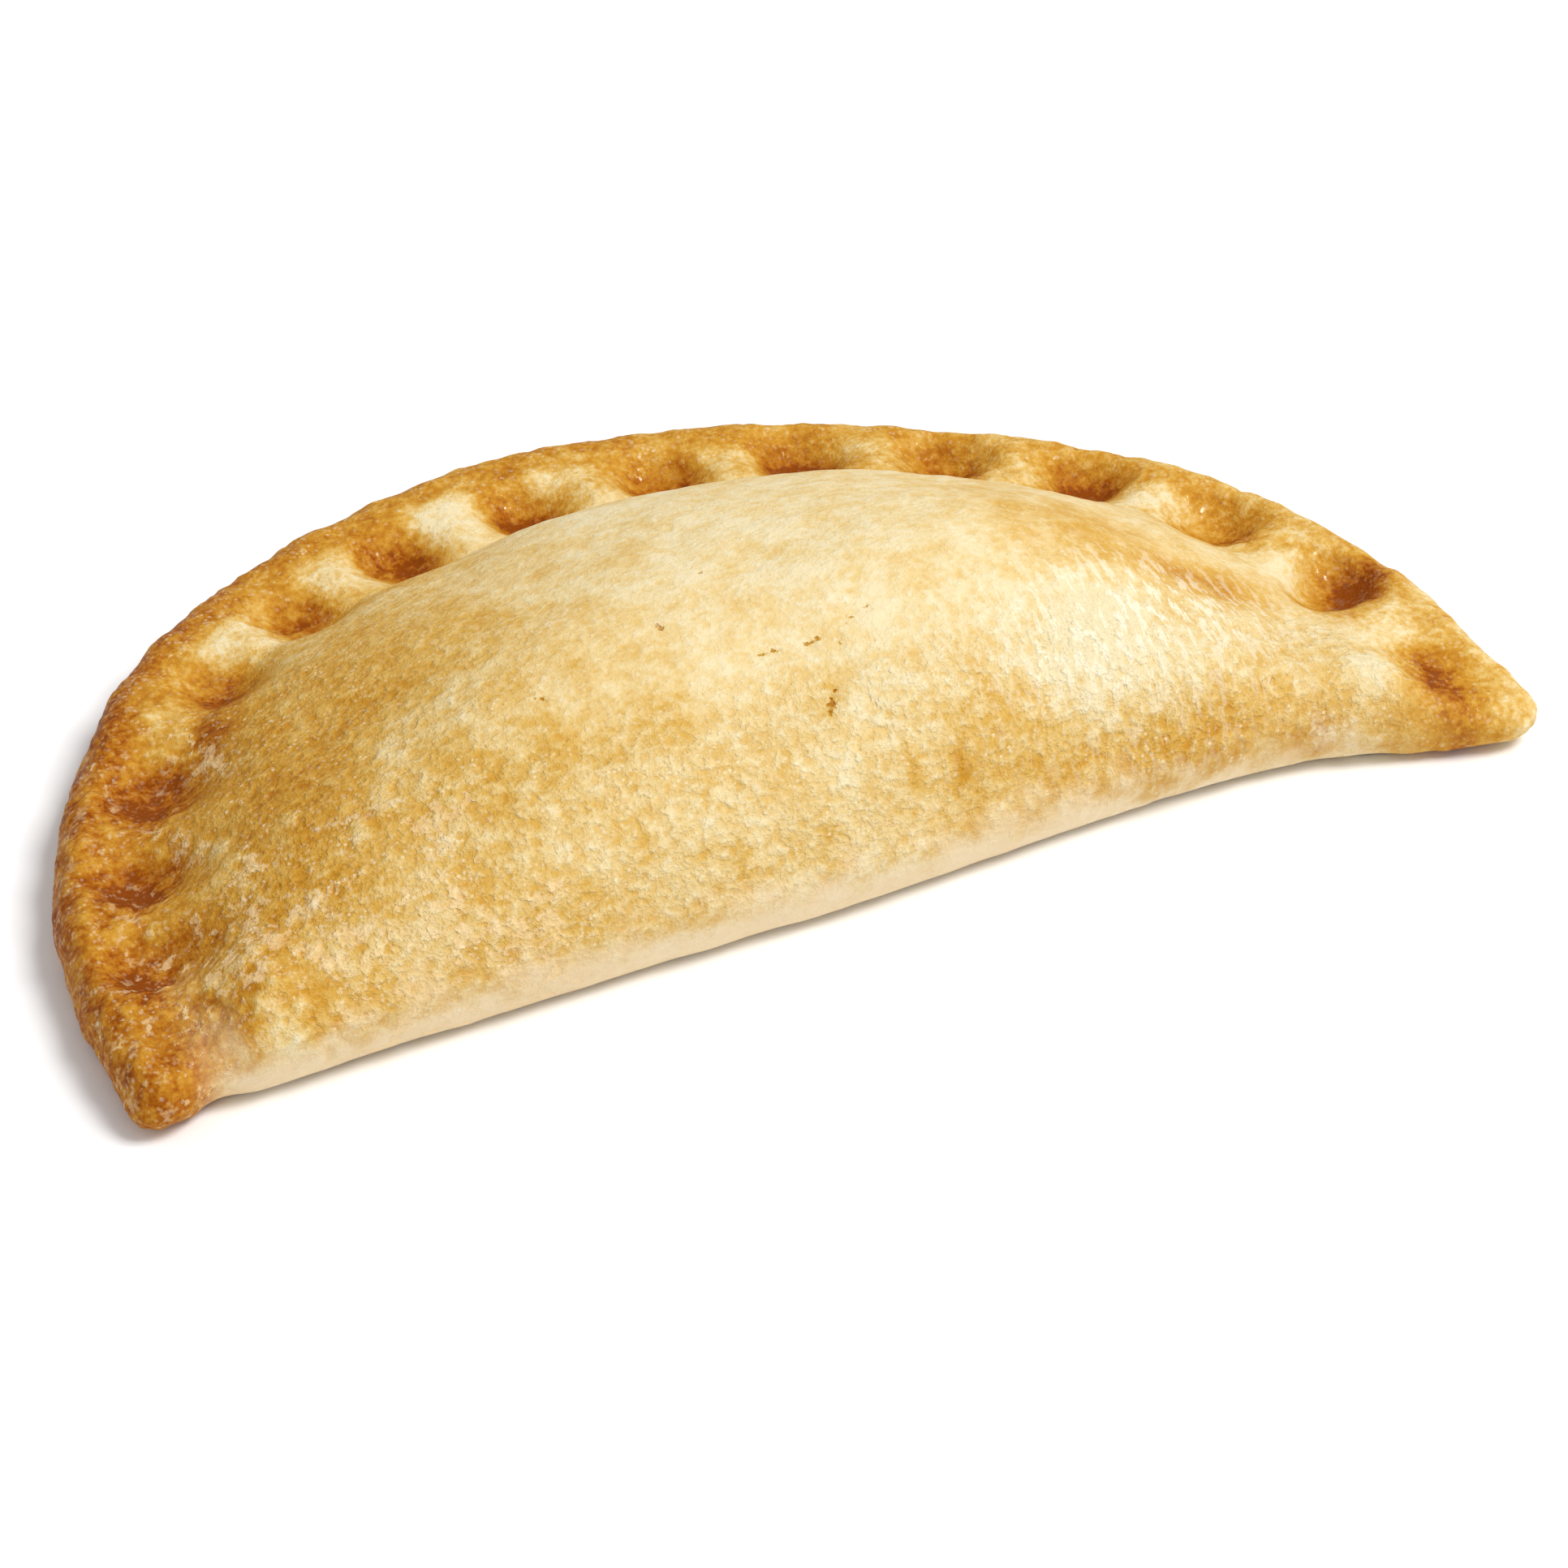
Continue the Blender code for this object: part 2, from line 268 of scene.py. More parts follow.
# %% Soft ovals and a round edge
def oval(x, y, centre_x, centre_y, half_length, half_width, degrees):
    """1 at the middle of a turned oval, fading to 0 round it."""
    cosine, sine = math.cos(math.radians(degrees)), math.sin(math.radians(degrees))
    length = ((x - centre_x) * cosine + (y - centre_y) * sine) / half_length
    width = ((y - centre_y) * cosine - (x - centre_x) * sine) / half_width
    return np.exp(-(length**2) - width**2)


def ovals(x, y, rows):
    """Some turned ovals added up, each with its own strength at the end of its row."""
    return sum(strength * oval(x, y, *shape) for *shape, strength in rows)


def quarter_round(t):
    """A quarter of an ellipse: steep at 0, level at 1."""
    return np.sqrt(1.0 - (1.0 - np.clip(t, 0.0, 1.0)) ** 2)


print("halfway in, the round edge has", round(float(quarter_round(0.5)), 2), "of its height")

# %% The side view
RIM_TOP = 8.8
RIM_SWELL = 0.8
RIM_SWELL_INSETS = (4.0, 13.0)
CREASE_BEARING = (0.0, 10.0, 22.0, 50.0, 66.0, 90.0, 108.0, 125.0, 146.0, 160.0, 180.0)
CREASE_INSET = (7.0, 9.0, 12.6, 13.8, 16.4, 19.0, 18.0, 14.4, 11.0, 10.0, 10.0)
EDGE_HEIGHT = 3.8
EDGE_ROUND = 4.0
BASE_ROUND = 4.5
# The belly is the round front along the fold. It fades out before both tips.
BELLY_HEIGHT = 8.6
BELLY_BASE_ROUND = 5.0
BELLY_LEFT_END = (-77.0, -66.0)
BELLY_RIGHT_END = (76.0, 45.0)
BELLY_REACH = (18.0, 2.0)
DOME_FRONT_WIDTH = 30.0
DOME_X = (-92.0, -66.0, -40.0, -10.0, 20.0, 52.0, 74.0)
DOME_RISE = (12.0, 14.0, 16.2, 18.2, 19.6, 15.6, 10.0)
STEEPNESS_BEARING = (0.0, 14.0, 26.0, 50.0, 70.0, 104.0, 124.0, 140.0, 180.0)
STEEPNESS = (2.0, 1.8, 1.2, 0.86, 0.72, 0.74, 1.0, 1.3, 1.3)
BACK_X = (-92.0, -60.0, -40.0, -20.0, 20.0, 60.0)
BACK_WIDTH = (22.0, 34.0, 45.0, 47.0, 42.0, 36.0)
# The upper surface stays at least this far above the edge, with a soft bend where it would dip.
LEAST_LIFT = 0.5
LIFT_BEND = 0.64
# x, y, half length, half width, turn in degrees, height.
SWELLS = [(55.0, 24.0, 9.0, 5.0, -6.0, -0.8), (64.5, 8.0, 6.5, 6.0, 20.0, 1.0),
          (79.0, 3.0, 7.0, 6.0, 0.0, -1.6), (-68.0, 9.0, 4.5, 6.0, 0.0, 2.4)]
print("the dome rises", max(DOME_RISE), "mm above the rim")

# %% The height of both surfaces
def heights(x, y):
    """Height of the upper and of the lower surface above the base."""
    from_rim, from_fold, bearing = edges(x, y)
    degrees = np.degrees(bearing)
    inset = np.maximum(edge_distance(from_rim, from_fold), 0.0)
    belly = ease(*BELLY_LEFT_END, x) * ease(*BELLY_RIGHT_END, x)
    middle = EDGE_HEIGHT + (BELLY_HEIGHT - EDGE_HEIGHT) * belly * ease(*BELLY_REACH, from_fold)
    front = quarter_round(from_fold / DOME_FRONT_WIDTH)
    crease = along(degrees, CREASE_BEARING, CREASE_INSET)
    back_share = np.clip((from_rim - crease) / along(x, BACK_X, BACK_WIDTH), 0.0, 1.0)
    back = np.sin(0.5 * math.pi * back_share) ** along(degrees, STEEPNESS_BEARING, STEEPNESS)
    top = RIM_TOP + RIM_SWELL * ease(*RIM_SWELL_INSETS, from_rim) + lip_wave(from_rim, bearing)
    top = top + along(x, DOME_X, DOME_RISE) * front * back - print_depth(from_rim, bearing)
    top = top + ovals(x, y, SWELLS)
    lift = top - middle
    lift = 0.5 * (lift + LEAST_LIFT + np.sqrt((lift - LEAST_LIFT) ** 2 + LIFT_BEND))
    base_round = BASE_ROUND + (BELLY_BASE_ROUND - BASE_ROUND) * belly
    upper = middle + lift * quarter_round(inset / EDGE_ROUND)
    return upper, middle * (1.0 - quarter_round(inset / base_round))


print("height at the middle of the plan:", round(float(heights(0.0, 40.0)[0]), 1), "mm")

# %% [markdown]
# ## The skin's mesh
# One mesh covers the whole pie. It starts as a cube without its bottom, with every side
# cut into fine cells of about half a millimetre. Then its vertices are moved: the four
# side faces are laid round the outline, from under the edge up over the rim, and the
# top face is spread over the plan between them. A fine even grid carries fine relief.

# %% A cube cut into cells
LENGTH_CELLS = 300
DEPTH_CELLS = 122
SIDE_CELLS = 60

model = bmesh.new()
bmesh.ops.create_cube(model, size=2.0)
bottom = [face for face in model.faces if face.normal.z < -0.5]
bmesh.ops.delete(model, geom=bottom, context="FACES_ONLY")
# The cube is 2 wide, so the edges that run along an axis are longer than 1 there.
for axis, cells in enumerate((LENGTH_CELLS, DEPTH_CELLS, SIDE_CELLS)):
    crossing = [edge for edge in model.edges
                if abs(edge.verts[0].co[axis] - edge.verts[1].co[axis]) > 1.0]
    bmesh.ops.subdivide_edges(model, edges=crossing, cuts=cells - 1)
cube = np.array([vertex.co[:] for vertex in model.verts])
print("the cube has", len(model.faces), "faces")

# %% [markdown]
# The outline is found by halving: along each direction from a middle point, the edge
# lies where the edge distance changes its sign. A walk round it then gives every column
# of the side faces its place. Both tips are corners of the cube, so the walk from the
# right tip round the rim to the left tip takes three side faces and the fold takes one.

# %% Find the outline
MIDDLE_Y = 38.0
DIRECTIONS = 6000
SURELY_INSIDE = 5.0
SURELY_OUTSIDE = 130.0
HALVINGS = 40


def outline():
    """The outline from the right tip round the rim to the left tip, and the fold from there back."""
    turn = np.linspace(0.0, 2.0 * math.pi, DIRECTIONS + 1)[:-1]
    low = np.full_like(turn, SURELY_INSIDE)
    high = np.full_like(turn, SURELY_OUTSIDE)
    for _ in range(HALVINGS):
        half = 0.5 * (low + high)
        from_rim, from_fold, _bearing = edges(half * np.cos(turn), MIDDLE_Y + half * np.sin(turn))
        inside = edge_distance(from_rim, from_fold) > 0.0
        low = np.where(inside, half, low)
        high = np.where(inside, high, half)
    points = np.stack([low * np.cos(turn), MIDDLE_Y + low * np.sin(turn)], axis=1)
    points = np.roll(points, -int(np.argmax(points[:, 0] - points[:, 1])), axis=0)
    left_tip = int(np.argmax(-points[:, 0] - points[:, 1]))
    return points[:left_tip + 1], np.append(points[left_tip:], points[:1], axis=0)


rim_curve, fold_curve = outline()
print("from tip to tip:", round(float(np.hypot(*(fold_curve[0] - fold_curve[-1]))), 1), "mm")

# %% Points along a curve
def even_points(curve, share):
    """Points of a curve at the given shares of its length."""
    run = np.append(0.0, np.cumsum(np.hypot(*np.diff(curve, axis=0).T)))
    return np.stack([np.interp(share * run[-1], run, curve[:, axis]) for axis in (0, 1)], axis=-1)


def crowd(share, amount):
    """Shares of a length, drawn closer together at both of its ends."""
    return share - amount * np.sin(2.0 * math.pi * share) / (2.0 * math.pi)


print("halfway along the fold:", np.round(even_points(fold_curve, 0.5), 1))

# %% Places on the plan
# The walk's count at the cube's corners round the rim, and the share of the rim's length there.
CORNER_WALK = (0.0, 2.0, 4.0, 6.0)
CORNER_SHARE = (0.0, 0.22, 0.78, 1.0)
RIM_CROWDING = 0.2
FOLD_CROWDING = 0.45
# How much of the way along X the columns turn in towards the middle.
INWARD_X = 0.5


def plan_point(walk, inset):
    """A point at an inset, after a walk of 0 to 8 round the outline. The fold is 6 to 8."""
    walk = np.mod(walk, 8.0)
    rim_share = np.interp(walk, CORNER_WALK, CORNER_SHARE)
    fold_share = np.clip(0.5 * walk - 3.0, 0.0, 1.0)
    on_rim = even_points(rim_curve, crowd(rim_share, RIM_CROWDING))
    on_fold = even_points(fold_curve, crowd(fold_share, FOLD_CROWDING))
    edge = np.where((walk < 6.0)[:, None], on_rim, on_fold)
    inward = np.stack([-INWARD_X * edge[:, 0], MIDDLE_Y - edge[:, 1]], axis=1)
    return edge + inward * (inset / np.hypot(inward[:, 0], inward[:, 1]))[:, None]


def patch_point(across, up, inset):
    """A point of the upper patch, blended from the patch's four sides."""
    full = np.full_like(across, inset)
    front = plan_point(6.0 + 2.0 * across, full)
    right = plan_point(2.0 * up, full)
    rear = plan_point(4.0 - 2.0 * across, full)
    left = plan_point(6.0 - 2.0 * up, full)
    corners = [plan_point(np.full_like(up, walk), full) for walk in (6.0, 0.0, 2.0, 4.0)]
    u = across[:, None]
    v = up[:, None]
    sides = (1.0 - v) * front + v * rear + (1.0 - u) * left + u * right
    low = (1.0 - u) * corners[0] + u * corners[1]
    return sides - (1.0 - v) * low - v * (u * corners[2] + (1.0 - u) * corners[3])


print("rim and fold in points:", len(rim_curve), len(fold_curve))

# %% Lay the cube over the plan
BELOW_EDGE_CELLS = 10
SIDE_REACH = 21.0
ON_SIDE = 0.0001

across = 0.5 * (cube[:, 0] + 1.0)
up = 0.5 * (cube[:, 1] + 1.0)
row = 0.5 * (cube[:, 2] + 1.0) * SIDE_CELLS
below = BELLY_BASE_ROUND * (1.0 - np.sin(np.linspace(0.0, 0.5 * math.pi, BELOW_EDGE_CELLS + 1)))
climb = np.linspace(0.0, 1.0, SIDE_CELLS - BELOW_EDGE_CELLS + 1)
above = SIDE_REACH * (1.0 - np.cos(0.5 * math.pi * climb))
insets = np.append(below, above[1:])

right, rear = across > 1.0 - ON_SIDE, up > 1.0 - ON_SIDE
left, front = across < ON_SIDE, up < ON_SIDE
walks = [2.0 * up, 4.0 - 2.0 * across, 6.0 - 2.0 * up]
walk = np.select([right, rear, left], walks, 6.0 + 2.0 * across)
on_side = right | rear | left | front
plan = plan_point(walk, np.interp(row, np.arange(len(insets)), insets))
plan = np.where(on_side[:, None], plan, patch_point(across, up, SIDE_REACH))
upper, lower = heights(plan[:, 0], plan[:, 1])
is_upper = row > BELOW_EDGE_CELLS - 0.5
place = np.column_stack([plan, np.where(is_upper, upper, lower)])
print("form in mm:", np.round(place.max(axis=0) - place.min(axis=0), 1))

# %% [markdown]
# The open underside is closed flat, because the pie lay on a tray: a narrow ring inside its
# edge, then a fan of faces round one middle point. The ring's inner points and the middle
# point are marked as tray side, so the whole fan can have the even browning of the tray.
# The mesh is then measured once: every vertex needs the direction of its normal, along
# which the relief will lift or press it.

# %% Close the base and read the normals
# How far out the ring's inner edge lies, as a share of the underside's own reach.
TRAY_SHARE = 0.93

for vertex, (x, y, z) in zip(model.verts, place):
    vertex.co = (x, y, z)
ring = [edge for edge in model.edges if edge.is_boundary]
base = bmesh.ops.edgeloop_fill(model, edges=ring)["faces"]
bmesh.ops.inset_individual(model, faces=base, thickness=0.0)
to_middle = Matrix.Translation((0.0, -MIDDLE_Y, 0.0))
inner_ring = list(base[0].verts)
bmesh.ops.scale(model, vec=(TRAY_SHARE, TRAY_SHARE, 0.0), space=to_middle, verts=inner_ring)
middle_point = bmesh.ops.poke(model, faces=base)["verts"]
bmesh.ops.recalc_face_normals(model, faces=model.faces)
for face in model.faces:
    face.smooth = max(vertex.co.z for vertex in face.verts) > 0.0
model.normal_update()
place = np.array([vertex.co[:] for vertex in model.verts])
normals = np.array([vertex.normal[:] for vertex in model.verts])
model.verts.index_update()
tray_side = np.zeros(len(place))
tray_side[[vertex.index for vertex in inner_ring + middle_point]] = 1.0
print("outward at the top:", normals[np.argmax(place[:, 2]), 2] > 0.0)

# %% [markdown]
# ## Relief of the crust
# Baked dough is never smooth. It has broad lumps over the filling, blisters a few
# millimetres wide, and small crags on the browned rim. Each is a noise of its own size,
# with its own strength where it belongs. The base stays flat.

# %% Noise of a given size
# Every seed moves the noise by another step of these, so that no two noises are alike.
BUMP_SHIFT = (13.7, -7.1, 5.3)
BLISTER_SHIFT = (3.9, 8.3, -6.1)
BLISTER_RADIUS = 0.62
PATCH_SIZE = 3.0
PATCH_SEED = 20


def bumps(size, seed, octaves=1, stretch=(1.0, 1.0, 1.0)):
    """Smooth seeded noise of about -1 to 1, with bumps of a size in mm."""
    scale = [1.0 / (size * amount) for amount in stretch]
    shift = Vector([step * seed for step in BUMP_SHIFT])
    points = [Vector((x * scale[0], y * scale[1], z * scale[2])) + shift for x, y, z in place]
    total = np.zeros(len(points))
    for octave in range(octaves):
        total += 0.5**octave * np.array([noise.noise(point * 2.0**octave) for point in points])
    return total


def round_blisters(size, seed):
    """Little round blisters, 0 to 1 high and about a size in mm apart, grouped in patches."""
    shift = Vector([step * seed for step in BLISTER_SHIFT])
    reach = np.array([noise.voronoi(Vector(point) / size + shift)[0][0] for point in place])
    patches = ease(-0.25, 0.35, bumps(PATCH_SIZE * size, seed + PATCH_SEED))
    return np.clip(1.0 - (reach / BLISTER_RADIUS) ** 2, 0.0, 1.0) * patches


x, y, z = place.T
from_rim, from_fold, bearing = edges(x, y)
print("points of the skin:", len(place))

# %% Where each kind of surface lies
# x, y, half length, half width and turn in degrees.
LOW_LEFT = (-60.0, 16.0, 18.0, 14.0, 20.0)
RIGHT_PART = (41.0, 17.0, 20.0, 9.0, 8.0)
# The top of the pale band along the fold, its waves, and how much lower it is on the right.
BAND_TOP = (12.0, 3.0)
BAND_WAVE = 3.4
BAND_DROP = 4.0

# Each value is 1 where its kind of surface lies and 0 elsewhere, with a soft step between.
rim_part = ease(19.0, 11.0, from_rim)
lip = ease(5.0, 1.0, from_rim) * ease(1.0, 3.0, from_fold)
left_part = ease(-10.0, -55.0, x)
low_left = oval(x, y, *LOW_LEFT)
right_part = oval(x, y, *RIGHT_PART)
flap = ease(-70.0, -76.0, x) * ease(22.0, 12.0, y)
band_height = z + BAND_WAVE * bumps(4.0, 12, 3) + BAND_DROP * ease(24.0, 44.0, x)
front_band = ease(*BAND_TOP, band_height) * ease(16.0, 8.0, from_fold)
front_band = front_band * ease(-78.5, -70.5, x) * ease(70.0, 56.0, x)
off_base = ease(0.1, 1.6, z)
print("share of the skin in the pale band:", round(float(front_band.mean()), 2))

# %% Lumps, blisters and crags
# How high each kind of relief stands, in mm.
LUMP, WIDE_LUMP = 0.50, 0.40
RIPPLE, RIGHT_RIPPLE = 0.18, 0.10
BLISTER, SMALL_BLISTER = 0.42, 0.20
WRINKLE = 0.16
CRAG = 0.10
RIM_WAVE, FOLD_WAVE = 0.28, 0.30
# Wrinkles are three times as long as wide.
WRINKLE_STRETCH = (1.0, 3.2, 1.0)

lumps = (LUMP * bumps(15.0, 1) + WIDE_LUMP * bumps(26.0, 7)) * (1.0 - 0.6 * rim_part)
ripples = (RIPPLE + RIGHT_RIPPLE * right_part) * bumps(6.0, 2, 2)
blister_share = 0.15 + low_left + 0.4 * right_part + 0.4 * rim_part + 0.3 * left_part
blister_share = np.clip(blister_share, 0.0, 1.0)
blisters = blister_share * round_blisters(2.4, 3)
small_blisters = blister_share * round_blisters(1.4, 4)
wrinkles = right_part * bumps(1.7, 6, 2, WRINKLE_STRETCH)
crags = CRAG * bumps(3.2, 5, 2) * (0.4 + rim_part)
rim_wave = RIM_WAVE * bumps(5.0, 14, 2) * ease(7.0, 1.0, from_rim)
fold_wave = FOLD_WAVE * bumps(7.0, 15, 2) * ease(6.0, 3.0, z) * ease(6.0, 2.0, from_fold)
relief = lumps + ripples + BLISTER * blisters + SMALL_BLISTER * small_blisters
relief = relief + WRINKLE * wrinkles + crags + (rim_wave + fold_wave)
relief = relief * (1.0 - 0.4 * front_band) * off_base
print("relief from", round(relief.min(), 2), "to", round(relief.max(), 2), "mm")

# %% [markdown]
# Some marks are single ones: a dotted crack and a pit near the crown, a few golden
# pits, a scuffed streak and scattered flakes of dough. Each is a short stroke. The
# skin keeps how far every point lies from the nearest stroke, so that the material can
# draw its edge crisply and a little wavy.

# %% Cracks and flakes
# Each is x, y of one end, x, y of the other, and half its width.
CRACKS = [(-5.0, 22.0, -4.4, 21.9, 0.12), (-3.6, 21.7, -1.6, 21.3, 0.20),
          (1.0, 21.2, 3.2, 21.2, 0.20), (2.6, 15.8, 1.9, 14.8, 0.14),
          (1.5, 14.3, 0.4, 13.0, 0.38), (6.2, 22.0, 8.0, 22.6, 0.10),
          (8.8, 23.0, 10.4, 23.4, 0.10), (5.2, 21.2, 4.4, 19.2, 0.10),
          (-28.4, 25.8, -28.0, 25.5, 0.30), (-12.7, 29.6, -12.3, 29.4, 0.30),
          (-4.6, 36.3, -4.5, 36.3, 0.16)]
FLAKES = [(-55.8, 22.8, -51.5, 21.6, 0.20), (-50.8, 21.0, -46.0, 20.7, 0.36),
          (-28.0, 26.6, -26.0, 29.0, 0.30), (-23.5, 36.2, -19.8, 38.3, 0.30),
          (5.4, 24.6, 6.8, 25.2, 1.20), (-61.0, 15.0, -59.4, 13.8, 0.50),
          (-60.6, 13.6, -59.6, 15.4, 0.40), (-46.0, 13.0, -44.4, 13.6, 0.60),
          (-12.0, 30.2, -11.6, 30.0, 0.40), (57.0, 5.6, 59.0, 5.2, 0.50),
          (60.5, 4.8, 61.2, 4.8, 0.40)]
CRACK_DEPTH = 0.16
FLAKE_HEIGHT = 0.08
# Distances stop at this many mm. The underside, which has no strokes, counts as farther.
FAR = 2.0
UNDERSIDE_FAR = 4.0


def stroke_distance(strokes):
    """How far each point lies outside the nearest of some strokes, in mm."""
    nearest = np.full(len(place), FAR)
    for x0, y0, x1, y1, half_width in strokes:
        length = (x1 - x0) ** 2 + (y1 - y0) ** 2
        share = np.clip(((x - x0) * (x1 - x0) + (y - y0) * (y1 - y0)) / length, 0.0, 1.0)
        reach = np.hypot(x - x0 - share * (x1 - x0), y - y0 - share * (y1 - y0))
        nearest = np.minimum(nearest, reach - half_width)
    return nearest + UNDERSIDE_FAR * tray_side


to_crack = stroke_distance(CRACKS)
to_flake = stroke_distance(FLAKES)
relief = relief - CRACK_DEPTH * ease(0.5, -0.2, to_crack)
relief = relief + FLAKE_HEIGHT * ease(0.7, -0.1, to_flake)
print(len(CRACKS), "cracks and pits,", len(FLAKES), "flakes")

# %% Shape the mesh and make the piece
# The middle of the plan's box, which comes to lie on the frame's origin.
PLAN_MIDDLE = np.array([-0.511, 46.027, 0.0])
BASE_TOLERANCE = 0.02

shaped = place + normals * relief[:, None]
shaped[:, 2] = np.where(z < BASE_TOLERANCE, 0.0, np.maximum(shaped[:, 2], 0.0))
for vertex, point in zip(model.verts, (shaped - PLAN_MIDDLE) * MM):
    vertex.co = point
crust_mesh = bpy.data.meshes.new("pie_crust")
model.to_mesh(crust_mesh)
model.free()
crust = bpy.data.objects.new("pie_crust", crust_mesh)
bpy.context.scene.collection.objects.link(crust)
crust_mesh.calc_loop_triangles()
print("triangles:", len(crust_mesh.loop_triangles))

# %% [markdown]
# ## How far the crust is baked
# One number per point says how brown the crust is, from 0 for pale dough to 1 for deep
# brown. Thin places brown first: the pressed rim, its outer lip and the floors of the
# prints. The thick lobes between the prints and the crown of the dome stay pale. Some of
# the number is painted light: paler lobes, walls and bulges for highlight, dark print spots for
# shade.

# %% Where it browned more or less
RIM_TOAST_BEARING = (0.0, 20.0, 50.0, 80.0, 100.0, 123.0, 134.0, 150.0, 180.0)
RIM_TOAST = (0.32, 0.42, 0.52, 0.60, 0.68, 0.74, 0.80, 0.78, 0.70)
# How pale each lobe between two prints is, from the right tip round to the left one: partly dough
# that stayed pale, partly painted highlight on the lobes' rounded tops.
LOBE_PALE_AND_HIGHLIGHT = (0.30, 0.10, 0.30, 0.16, 0.10, 0.28, 0.24, 0.68, 0.58, 0.62, 0.36, 0.24, 0.20, 0.10)
# Bearing and inset of the dark spots in and round the prints, and how dark each is. They are partly
# real browning and partly painted shade on the print walls that face away from the light.
BURNT_AND_SHADED_SPOTS = [(8.2, 9.4, 0.26), (5.2, 11.0, 0.28), (5.4, 7.8, 0.22), (2.6, 10.4, 0.24),
               (1.0, 9.0, 0.14), (19.4, 8.0, 0.60), (20.4, 4.8, 0.44), (16.8, 12.2, 0.42),
               (31.4, 9.6, 0.40), (46.0, 8.4, 0.56), (57.4, 10.6, 0.46), (70.8, 10.0, 0.95),
               (82.0, 14.4, 0.52), (94.6, 14.2, 0.60), (106.4, 14.6, 0.40), (117.0, 14.6, 0.22),
               (131.0, 15.0, 0.30), (137.0, 15.4, 0.48), (146.4, 9.4, 0.46), (156.4, 8.2, 0.52),
               (166.4, 6.8, 0.48)]
SPOT_LENGTH = 3.8
SPOT_WIDTH = 3.0
# Ovals are x, y, half length, half width, turn in degrees, and how much browner they are. The pale
# oval at 33, 13 is painted highlight on the right front, which faces the light.
DOME_PATCHES = [(38.0, 5.4, 26.0, 2.8, 2.0, 0.34), (19.0, 9.0, 10.0, 4.0, 0.0, 0.10),
                (53.6, 24.4, 7.5, 3.8, -8.0, 0.30), (33.0, 13.0, 11.0, 7.0, 10.0, -0.26),
                (44.0, 30.0, 14.0, 7.0, -30.0, 0.24), (-50.0, 34.0, 18.0, 10.0, 40.0, 0.12),
                (-44.0, 9.0, 20.0, 7.0, 0.0, -0.15), (5.0, 9.0, 9.0, 5.0, 0.0, -0.11),
                (-22.0, 7.0, 12.0, 4.0, 0.0, -0.12), (-40.0, 30.0, 9.0, 6.0, 30.0, -0.18),
                (-56.0, 7.0, 9.0, 5.0, -10.0, -0.20), (-64.0, 28.0, 4.0, 12.0, 10.0, -0.12)]
# Two small soft pits below the crown.
GOLDEN_PITS = [(7.6, 7.6, 1.0, 1.6, 20.0, 0.26), (13.4, 6.6, 1.4, 1.2, 0.0, 0.26)]
# The corners where the folded side meets the rim. The two paler ovals paint highlight on the bulges
# there, which face the light. The two browner ones are browning.
CORNER_PATCHES = [(65.0, 8.0, 4.4, 2.6, 26.0, -0.40), (65.0, 3.8, 8.0, 1.8, -12.0, 0.20),
                  (-67.8, 2.6, 3.4, 2.4, 0.0, -0.40), (-73.5, 5.0, 2.6, 4.0, 0.0, 0.08)]
# Painted highlight: paler skin on walls of the prints, and on one spot, where the light catches
# them.
PAINTED_WALL_HIGHLIGHTS = [(66.5, 30.5, 3.4, 2.6, -60.0, -0.40), (62.9, 46.3, 3.2, 2.4, -54.0, -0.34),
              (31.0, 74.8, 4.5, 2.4, -22.0, -0.28), (-5.1, 82.1, 4.0, 2.4, 4.0, -0.28),
              (-41.3, 75.3, 4.0, 2.6, 29.0, -0.30), (-54.3, 67.0, 4.5, 2.8, 39.0, -0.40),
              (-65.0, 32.5, 4.0, 5.0, 80.0, -0.14)]
print(len(BURNT_AND_SHADED_SPOTS), "burnt spots,", len(DOME_PATCHES), "patches on the dome")

# %% Browning of the dome
CROWN_TOAST = 0.08
FRONT_TOAST = 0.13
LEFT_TOAST = 0.34
FAR_LEFT_TOAST = 0.12
REAR_RIGHT_TOAST = 0.08

dome_toast = CROWN_TOAST + FRONT_TOAST * ease(18.0, 8.0, from_fold) * (1.0 - 0.5 * left_part)
dome_toast = dome_toast + LEFT_TOAST * ease(2.0, -50.0, x) + FAR_LEFT_TOAST * ease(-46.0, -62.0, x)
dome_toast = dome_toast + REAR_RIGHT_TOAST * ease(0.0, 35.0, x) * ease(16.0, 26.0, y)
# The dome patches include a painted highlight on the right front.
dome_toast = dome_toast + ovals(x, y, DOME_PATCHES) + ovals(x, y, GOLDEN_PITS)
print("dome from", round(dome_toast.min(), 2), "to", round(dome_toast.max(), 2))

# %% Browning of the rim and of the whole
HOLLOW_DEPTH = 4.0
HOLLOW_TOAST = 0.24
LIP_TOAST, LIP_PALE = 0.14, 0.04
FLAP_TOAST = 0.08
BLISTER_PALE, SMALL_BLISTER_PALE = 0.26, 0.12
UNEVEN_TOAST = 0.05
BAND_TOAST, LEFT_BAND_TOAST = 0.10, 0.06
# The underside, which lay on the tray, is evenly browned.
TRAY_TOAST = 0.46

count = print_count(bearing)
between = ease(0.15, 0.85, 0.5 - 0.5 * np.cos(2.0 * math.pi * count))
lobe_pale_and_highlight = np.interp(count, np.arange(len(LOBE_PALE_AND_HIGHLIGHT)) + 0.5, LOBE_PALE_AND_HIGHLIGHT)
rim_toast = along(np.degrees(bearing), RIM_TOAST_BEARING, RIM_TOAST)
# Lobes are paler: less browned dough, together with painted highlight.
rim_toast = rim_toast - lobe_pale_and_highlight * between * ease(4.5, 9.0, from_rim)
toast = dome_toast * (1.0 - rim_part) + rim_toast * rim_part

hollow = np.clip(print_depth(from_rim, bearing) / HOLLOW_DEPTH, 0.0, 1.0)
